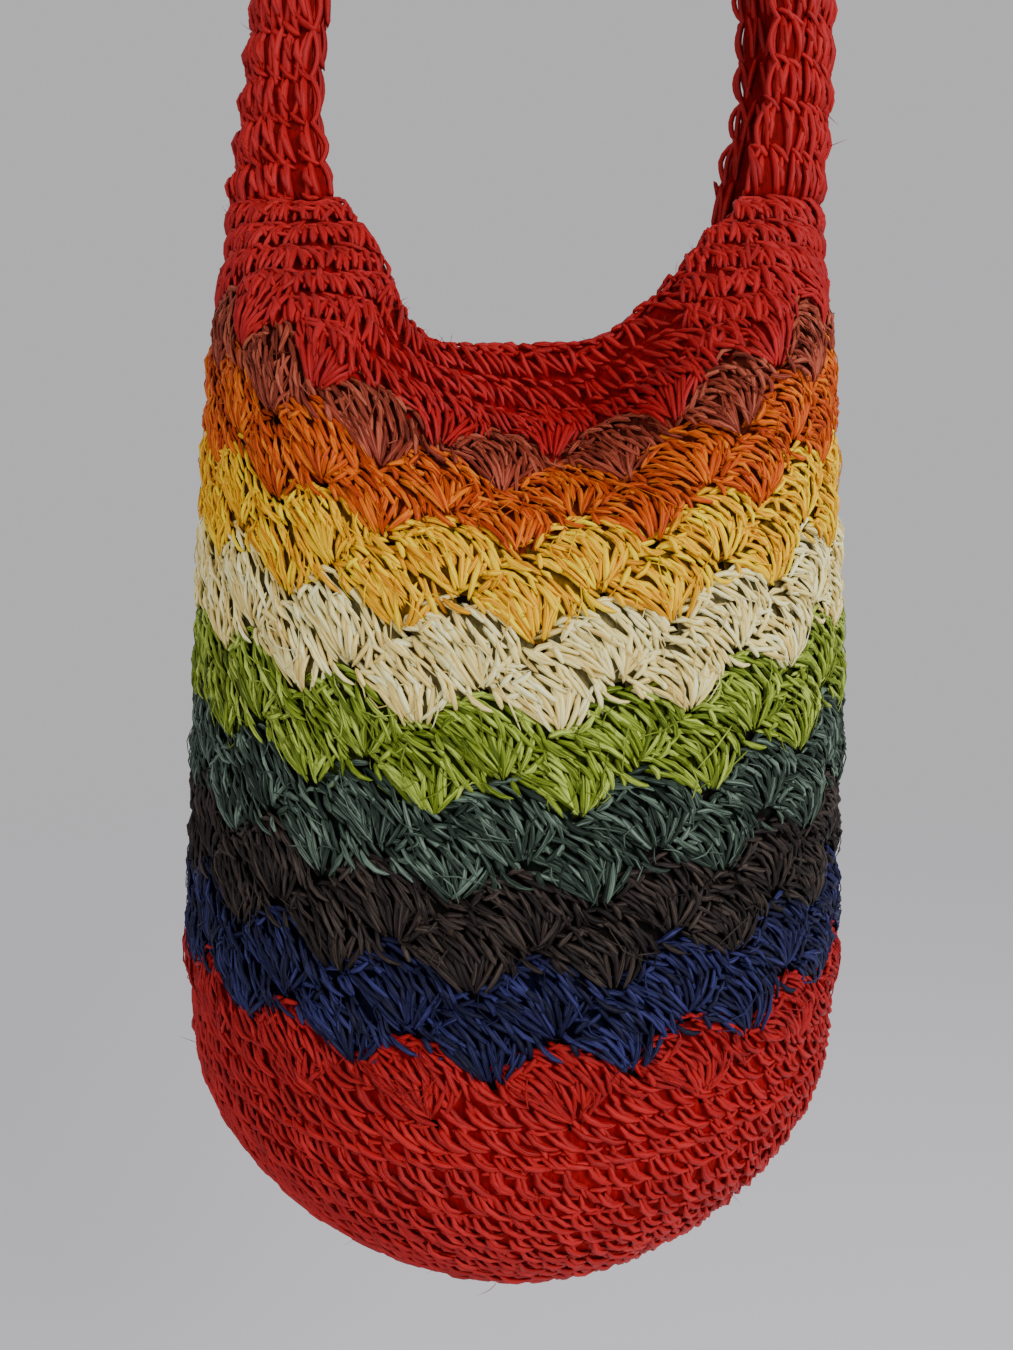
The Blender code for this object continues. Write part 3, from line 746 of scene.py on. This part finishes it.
# Each part of a shell's stitches: the rays that it is on, in degrees, how loose it is, and its
# strands. The last part is thin wisps that have worked out of the string.
SHELL_PARTS = (
    (
        np.linspace(-44, 38, 9),
        1.0,
        (
            #      spread turn reach follow lean length bow thick lift arch points
            Strand(0.93, 0, 10.0, 0.98, 0, 17.5, 0.3, 2.1, 0.6, 0.9, 7),
            Strand(0.96, 5, 14.8, 0.95, -4, 13.0, -0.4, 2.0, 0.4, 0.7, 5),
        ),
    ),
    (
        np.linspace(-46, 42, 9),
        1.3,
        (
            Strand(1.0, 0, 18.4, 0.5, -32, 13.0, 0.8, 2.0, 1.0, 1.2, 5),
            Strand(1.0, 5, 22.4, 0.4, -34, 12.5, -0.6, 1.9, 0.8, 1.2, 5),
            Strand(1.0, 0, 25.6, 0.3, -48, 11.5, 0.8, 2.0, 0.6, 1.1, 5),
        ),
    ),
    (
        np.linspace(-40, 42, 8),
        1.3,
        (
            Strand(1.0, -4, 28.0, 0.9, -68, 11.5, 1.0, 2.3, 1.3, 1.2, 5),
            Strand(1.1, 2, 30.6, 1, -98, 11.0, 1.2, 2.3, 1.3, 1.2, 5),
        ),
    ),
    (
        np.linspace(-40, 40, 4),
        5.0,
        (
            Strand(1.0, 0, 13.0, 0.4, 6, 12.0, 0.6, 0.6, 2.0, 1.0, 5),
            Strand(1.0, 0, 24.0, 0.2, -30, 12.0, -0.6, 0.6, 2.2, 1.0, 5),
        ),
    ),
)
# What a round shows round the foot of each shell that is worked into it: a loop under the foot,
# a stub to its right, and four strands that fan out from there.
SHELL_FOOT = (
    Strand(0, 203, 4.6, 0, 126, 11.5, 1.7, 2.0, 3.4, 0.9, 6),
    Strand(0, 126, 6.6, 0, -14, 7.0, 0.3, 2.2, 3.0, 0.8, 5),
    Strand(0, 66, 10.4, 0, 44, 9.5, 0.4, 2.3, 2.6, 1.0, 5),
    Strand(0, 66, 15.6, 0, 50, 9.5, 0.5, 2.2, 2.4, 1.0, 5),
    Strand(0, 94, 10.0, 0, 84, 8.0, 0.5, 2.2, 2.2, 0.8, 5),
    Strand(0, 84, 15.0, 0, 96, 8.5, 0.4, 2.2, 2.0, 0.8, 5),
)


def feet_of_round(a_round):
    """Feet of one round of shells, which are between the feet of the round below."""
    stagger = 0.0 if a_round % 2 else 0.5
    feet_u = (np.arange(SHELLS_PER_ROUND) + stagger) / SHELLS_PER_ROUND
    return feet_u, np.full(SHELLS_PER_ROUND, ROUNDS_TOP - a_round)


def flat_relief(u, v, x, y):
    return 0.0


def shells_of_round(yarn, a_round, parts=SHELL_PARTS):
    """One round of shells, and what they show round the feet of the shells above them."""
    scale = (1 / (SHELL_WIDTH * SHELLS_PER_ROUND), 1 / ROUND_RISE)
    for rays, loose, strands in parts:
        work(yarn, body, feet_of_round(a_round), scale, rays, strands, shell_relief, units_up, 1, loose)
    if a_round > 0:
        feet = feet_of_round(a_round - 1)
        work(yarn, body, feet, scale, [0], SHELL_FOOT, flat_relief, units_up)


first_round = 1
for dye in DYES[1:]:
    yarn = Yarn(dye)
    for a_round in range(first_round, dye.last_round + 1):
        shells_of_round(yarn, a_round)
    first_round = dye.last_round + 1
    bag_pieces.append(yarn.object(f"{dye.name}_shells", string(dye)))

base_yarn = Yarn(red)
shells_of_round(base_yarn, ROUNDS - 1)
bag_pieces.append(base_yarn.object("base_shells", red_string))


# The red edge: a last round of red shells, then rows of tall stitches that build up the two
# gores, and a few low rows between them that lean back into the mouth.

edge_yarn = Yarn(red)
shells_of_round(edge_yarn, 0, SHELL_PARTS[:2])

GORE_STITCH = (
    #      spread turn reach follow lean length bow thick lift arch points
    Strand(0, -9, 8.2, 0, -6, 18.5, 0.6, 2.9, 1.4, 1.5, 7),
    Strand(0, 12, 8.2, 0, 5, 18.0, -0.6, 2.8, 1.2, 1.4, 7),
    Strand(0, 20, 8.6, 0, -8, 15.0, 0.3, 2.5, 0.8, 0.8, 6),
    Strand(0, 0, 9.0, 0, -36, 10.0, 0.5, 2.5, 2.2, 0.8, 5),
    Strand(0, 0, 15.3, 0, -62, 10.5, 0.8, 2.5, 1.1, 0.9, 5),
)
RIM_STITCH = (
    Strand(0, -10, 7.4, 0, -30, 15.0, 0.4, 2.4, 1.8, 1.4, 6),
    Strand(0, 20, 7.8, 0, -38, 14.0, -0.4, 2.3, 1.4, 1.2, 6),
    Strand(0, 0, 14.2, 0, -62, 7.5, 0.6, 2.4, 1.4, 0.8, 5),
)
EDGE_CHAIN = (
    Strand(0, 0, 0.5, 0, 76, 10.0, 0.8, 2.6, 0.5, 0.8, 5),
    Strand(0, 0, 1.8, 0, 100, 9.0, -0.6, 2.4, 0.2, 0.7, 5),
)
EDGE_STITCH_HEIGHT = 16.0  # in a stitch's own millimetres, which its row is scaled from
EDGE_STITCH_WIDTH = 6.0  # in mm
GORE_STITCH_WIDTH = 5.4
GORE_ROWS = 6
GORE_ROW = 0.0115  # height of a row, in metres
GORE_HALF_WIDTH = 0.155  # as a share of the round
EDGE_ROW_START = 18.27  # height of the first row, in the body's units
RIM_ROWS = 3
RIM_ROW = (BODY_TOP - 0.01 - EDGE_ROW_START) / RIM_ROWS
RIM_HALF_WIDTH = 0.115
CHAIN_HALF_WIDTH = 0.19


def rim_rows(yarn, heights, stitch, half_width):
    """Rows that follow the top edge, over a share of the round each side of its two middles."""
    for v in heights:
        us = np.linspace(0, 1, 129)
        _, _, per_u, _ = body.read(us[:-1], np.full(128, v))
        lengths = np.concatenate([[0.0], np.cumsum(per_u / 128)])
        stitches = round(lengths[-1] * 1000 / EDGE_STITCH_WIDTH)
        spots = (np.arange(stitches) + chance.random()) / stitches
        feet_u = np.interp(spots, lengths / lengths[-1], us)
        feet_u = feet_u[abs((feet_u + drift_at(v) + 0.25) % 0.5 - 0.25) < half_width]
        feet_v = np.full(len(feet_u), v)
        _, _, per_u, _ = body.read(feet_u, feet_v)
        scale = (0.001 / per_u, np.full(len(feet_u), RIM_ROW / EDGE_STITCH_HEIGHT))
        work(yarn, body, (feet_u, feet_v), scale, [0], stitch, body_relief, loose=1.5)


def plumb(us, vs):
    """Units of u and v to a millimetre across and to one up, where up is as plumb as it can be."""
    out = body.read(us, vs)[1]
    step = 0.001
    slopes = []
    for a, b in ((step, 0), (0, step)):
        rise = body.read(us + a, vs + b)[0] - body.read(us - a, vs - b)[0]
        slopes.append(rise / (2 * step))
    up = np.array([0.0, 0.0, 1.0]) - out * out[:, 2:]
    up /= np.linalg.norm(up, axis=-1, keepdims=True)
    ways = np.stack([np.cross(up, out), up], axis=-1)
    return np.linalg.pinv(np.stack(slopes, axis=-1)) @ ways * 0.001


def gore_rows(yarn):
    """Level rows over each gore, shorter and shorter, up to the strap."""
    for side in (RIGHT_SIDE, LEFT_SIDE):
        us = side + np.linspace(-GORE_HALF_WIDTH, GORE_HALF_WIDTH, 160) - drift_at(BODY_TOP)
        vs = np.linspace(EDGE_ROW_START, 18.97, 60)
        places = np.array([body.read(us, np.full(len(us), v))[0] for v in vs])
        for row in range(1, GORE_ROWS + 1):
            level = STRAP[0].z - 0.001 - row * GORE_ROW
            heights = np.array([np.interp(level, places[:, i, 2], vs) for i in range(len(us))])
            inside = (heights > vs[0]) & (heights < vs[-1])
            line = body.read(us, heights)[0]
            along = np.concatenate([[0.0], np.cumsum(np.linalg.norm(np.diff(line, axis=0), axis=-1))])
            spots = np.arange(chance.random() * 0.006, along[-1], GORE_STITCH_WIDTH * 0.001)
            spots = spots[np.interp(spots, along, inside) > 0.5]
            feet = np.interp(spots, along, us), np.interp(spots, along, heights)
            ways = plumb(*feet)
            tall = GORE_ROW * 1000 / EDGE_STITCH_HEIGHT
            scale, slant = (ways[:, 0, 0], ways[:, 1, 1] * tall), (ways[:, 0, 1] * tall, ways[:, 1, 0])
            work(yarn, body, feet, scale, [0], GORE_STITCH, body_relief, None, 1, 1.2, slant)


rim_rows(edge_yarn, EDGE_ROW_START + RIM_ROW * np.arange(RIM_ROWS), RIM_STITCH, RIM_HALF_WIDTH)
gore_rows(edge_yarn)
rim_rows(edge_yarn, [BODY_TOP - 0.04], EDGE_CHAIN, CHAIN_HALF_WIDTH)
bag_pieces.append(edge_yarn.object("red_edge", red_string))

for piece in bag_pieces:
    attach(piece, "root")


# The strap: a band of tall stitches in rows that run across it, worked on from one gore to the
# other and folded lengthways where it hangs.

STRAP_ROWS = 48
STRAP_STITCHES = 15  # in a row
STRAP_COLUMNS = 40
STRAP_MARGIN = 0.045  # of the band's width, along each edge


class Strap(Cloth):
    """The strap's cloth, with u over it from 0 to 1 and v along it."""

    def __init__(self):
        us = np.linspace(0, 1, 81)
        vs = np.linspace(0, 1, 385)
        super().__init__(us, vs, np.array([strap_section(v, us * 2 - 1) for v in vs]))


strap = Strap()


def strap_margin(v):
    """How far the strap's outermost stitches are inside the solid's edge, which they reach where
    the strap meets its gores."""
    return STRAP_MARGIN * np.clip(np.minimum(v, 1 - v) / 0.05, 0.0, 1.0)


def strap_relief(u, v, x=None, y=None):
    """Each row is puffed up like a barrel and drawn in where it meets the next."""
    return 0.0019 * abs(np.sin(v * STRAP_ROWS * math.pi)) ** 0.7 - 0.0011


def strap_cloth():
    """The closed sheet that the strap's stitches stand on, a little narrower than they are."""
    us, vs = np.meshgrid(np.linspace(0, 1, STRAP_COLUMNS), np.linspace(0, 1, STRAP_ROWS * 4 + 1))
    us = us + (1 - 2 * us) * (strap_margin(vs) + 0.01)
    places, outs, _, _ = strap.read(us, vs)
    rise = strap_relief(us, vs)[..., None]
    front = places + outs * (0.0004 + rise)
    back = places - outs * (0.0008 - rise)
    rows, columns = us.shape
    half = rows * columns
    faces = []
    for j in range(rows - 1):
        for i in range(columns - 1):
            a = j * columns + i
            faces.append((a, a + 1, a + 1 + columns, a + columns))
            faces.append((half + a + columns, half + a + 1 + columns, half + a + 1, half + a))
        for i in (0, columns - 1):
            a = j * columns + i
            wall = (a, a + columns, half + a + columns, half + a)
            faces.append(wall if i == 0 else wall[::-1])
    for j in (0, rows - 1):
        for i in range(columns - 1):
            a = j * columns + i
            wall = (a, half + a, half + a + 1, a + 1)
            faces.append(wall if j == 0 else wall[::-1])
    mesh = bpy.data.meshes.new("strap_cloth")
    mesh.from_pydata([*front.reshape(-1, 3), *back.reshape(-1, 3)], [], faces)
    # the strap's ground is the red at 0.65, painted shade between its raised stitches
    mesh.materials.append(packed_string("strap_painted_shade", red, 0.65))
    mesh.shade_smooth()
    made = bpy.data.objects.new("strap_cloth", mesh)
    bpy.context.scene.collection.objects.link(made)
    return made


STRAP_STITCH = (
    #      spread turn reach follow lean length bow thick lift arch points
    Strand(0, -9, 8.5, 0, -5, 20.5, 0.9, 3.7, 0.5, 1.0, 7),
    Strand(0, 12, 8.8, 0, 6, 19.5, -0.8, 3.5, 0.3, 0.9, 7),
    Strand(0, 0, 8.0, 0, -16, 11.5, 0.7, 2.6, 1.6, 0.9, 5),
    Strand(0, 0, 15.6, 0, -52, 9.5, 0.9, 2.7, 0.9, 0.9, 5),
)
STRAP_BACK_STITCH = (
    Strand(0, -10, 8.5, 0, -8, 20.5, 0.8, 3.4, 0.6, 0.9, 5),
    Strand(0, 12, 8.8, 0, 8, 19.5, -0.8, 3.3, 0.4, 0.8, 5),
)


def strap_rows(yarn, side):
    """The stitches as they show on the strap's outer side, 1, or its inner side, -1."""
    strands = STRAP_STITCH if side > 0 else STRAP_BACK_STITCH
    across = (np.arange(STRAP_STITCHES) + 0.5) / STRAP_STITCHES
    length = strap.read(across, np.full(STRAP_STITCHES, 0.3))[3].mean()
    for row in range(STRAP_ROWS):
        v = np.full(STRAP_STITCHES, (row + 0.02) / STRAP_ROWS)
        us = across + (1 - 2 * across) * strap_margin(v)
        per_u = strap.read(us, v)[2]
        scale = (0.001 / per_u, 0.001 / length)
        work(yarn, strap, (us, v), scale, [0], strands, strap_relief, None, side, 0.9)
    return yarn


def edge_cords(yarn):
    """The turning loops at the ends of the rows: along each edge the string bows out from one row
    to the next, and light shows between it and the cloth."""
    v = np.linspace(0.0, 1.0, STRAP_ROWS * 6 + 1)
    bows = abs(np.sin(v * STRAP_ROWS * math.pi)) ** 0.8 * np.minimum(strap_margin(v) / 0.03, 1.0)
    for height, out in ((0.0006, 0.024), (-0.0004, 0.014)):
        for near in (True, False):
            uneven = np.repeat(0.7 + 0.5 * chance.random(STRAP_ROWS + 1), 6)[: len(v)]
            inset = strap_margin(v) + 0.008 - out * bows * uneven
            places, outs, _, _ = strap.read(inset if near else 1 - inset, v)
            yarn.lay((places + outs * height)[None], outs[None], 0.0023)


shoulder_strap = strap_cloth()
strap_yarn = strap_rows(Yarn(red), 1)
edge_cords(strap_yarn)
strap_stitches = strap_yarn.object("strap_stitches", red_string)
strap_backs = strap_rows(Yarn(red), -1).object("strap_backs", red_string)
for piece in (shoulder_strap, strap_stitches, strap_backs):
    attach(piece, "root")
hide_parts("shoulder_strap")


# Stray hairs of the fibre, which have worked loose from the string and stand off the edge, the
# base and the strap. Each is a thin curled strand of three sides.


class Hair(Yarn):
    sides = 3


def stray_hairs(name, cloth, us, vs, longest, material, rise=0.0):
    """Hairs that leave the cloth at places on it and curl as they go, none of them further from it
    than longest. rise: how much they stand up."""
    places, outs, _, _ = cloth.read(us, vs)
    count = len(us)
    lengths = longest * (0.3 + 0.7 * chance.random((count, 1, 1)))
    aim = outs * (0.4 + 0.4 * chance.random((count, 1))) + chance.normal(0, 0.55, (count, 3))
    aim = aim + [0.0, 0.0, rise]
    curl = chance.normal(0, 0.55, (count, 3))
    lengths = lengths / np.maximum(np.linalg.norm(aim + curl, axis=1), 1.0)[:, None, None]
    t = np.linspace(0, 1, 6)[None, :, None]
    paths = places[:, None] + lengths * (t * aim[:, None] + t * t * curl[:, None])
    hair = Hair(red)
    up = np.broadcast_to(np.array([0.31, 0.52, 0.79]), paths.shape)
    hair.lay(paths, up, 0.00022 + 0.00014 * chance.random(count))
    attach(hair.object(name, material), "root")


def scatter(count, low, high):
    return low + (high - low) * chance.random(count)


stray_hairs("edge_hairs", body, scatter(700, 0, 1), scatter(700, 18.75, 18.99), 0.008, red_string, 0.7)
stray_hairs("base_hairs", body, scatter(90, 0, 1), scatter(90, 0.3, 2.0), 0.014, red_string)
stray_hairs("strap_hairs", strap, scatter(200, 0.03, 0.97), scatter(200, 0.01, 0.99), 0.012, red_string)


# The floor and the light: a pale floor that fades into a pale backdrop, a broad soft light from
# the upper right and a weaker one from the left.

FLOOR_RADIUS = 3.0
FLOOR_HEIGHT = cad_box[0][2] - 0.30
FLOOR_CORNERS = 64
turns = [k / FLOOR_CORNERS * 2 * math.pi for k in range(FLOOR_CORNERS)]
floor_rim = [(FLOOR_RADIUS * math.cos(t), FLOOR_RADIUS * math.sin(t), FLOOR_HEIGHT) for t in turns]
floor_mesh = bpy.data.meshes.new("floor")
floor_mesh.from_pydata(floor_rim, [], [tuple(range(FLOOR_CORNERS))])
floor = bpy.data.objects.new("floor", floor_mesh)
bpy.context.scene.collection.objects.link(floor)
floor_paint, floor_shader, floor_start = new_material("floor_paint", 0.9)
floor_shader.inputs["Base Color"].default_value = linear((238, 238, 242))
spot = floor_start.node("ShaderNodeTexCoord", output=3)
away = floor_start.node("ShaderNodeVectorMath", {"operation": "LENGTH"}, {0: spot}, output=1)
fade = floor_start.node("ShaderNodeMapRange", {"interpolation_type": "SMOOTHSTEP"}, {
    "Value": away, "From Min": 0.9, "From Max": 2.9, "To Min": 1.0, "To Max": 0.0
})
feed(fade, floor_shader, "Alpha")
floor_mesh.materials.append(floor_paint)

world = bpy.data.worlds.new("backdrop")
world.use_nodes = True
world.node_tree.nodes["Background"].inputs["Color"].default_value = linear((196, 194, 197))
world.node_tree.nodes["Background"].inputs["Strength"].default_value = 1.0
bpy.context.scene.world = world


def soft_light(name, place, size, power):
    """A square lamp turned to the bag's middle."""
    lamp = bpy.data.lights.new(name, "AREA")
    lamp.size = size
    lamp.energy = power
    made = bpy.data.objects.new(name, lamp)
    made.location = place
    target = np.array([0.0, 0.0, -0.55]) - np.array(place)
    across = math.hypot(target[0], target[1])
    made.rotation_euler = (math.atan2(across, -target[2]), 0.0, math.atan2(-target[0], target[1]))
    bpy.context.scene.collection.objects.link(made)


soft_light("key_light", (1.2, -1.3, 0.15), 1.0, 31)
soft_light("fill_light", (-1.3, -1.2, -0.1), 1.2, 7)
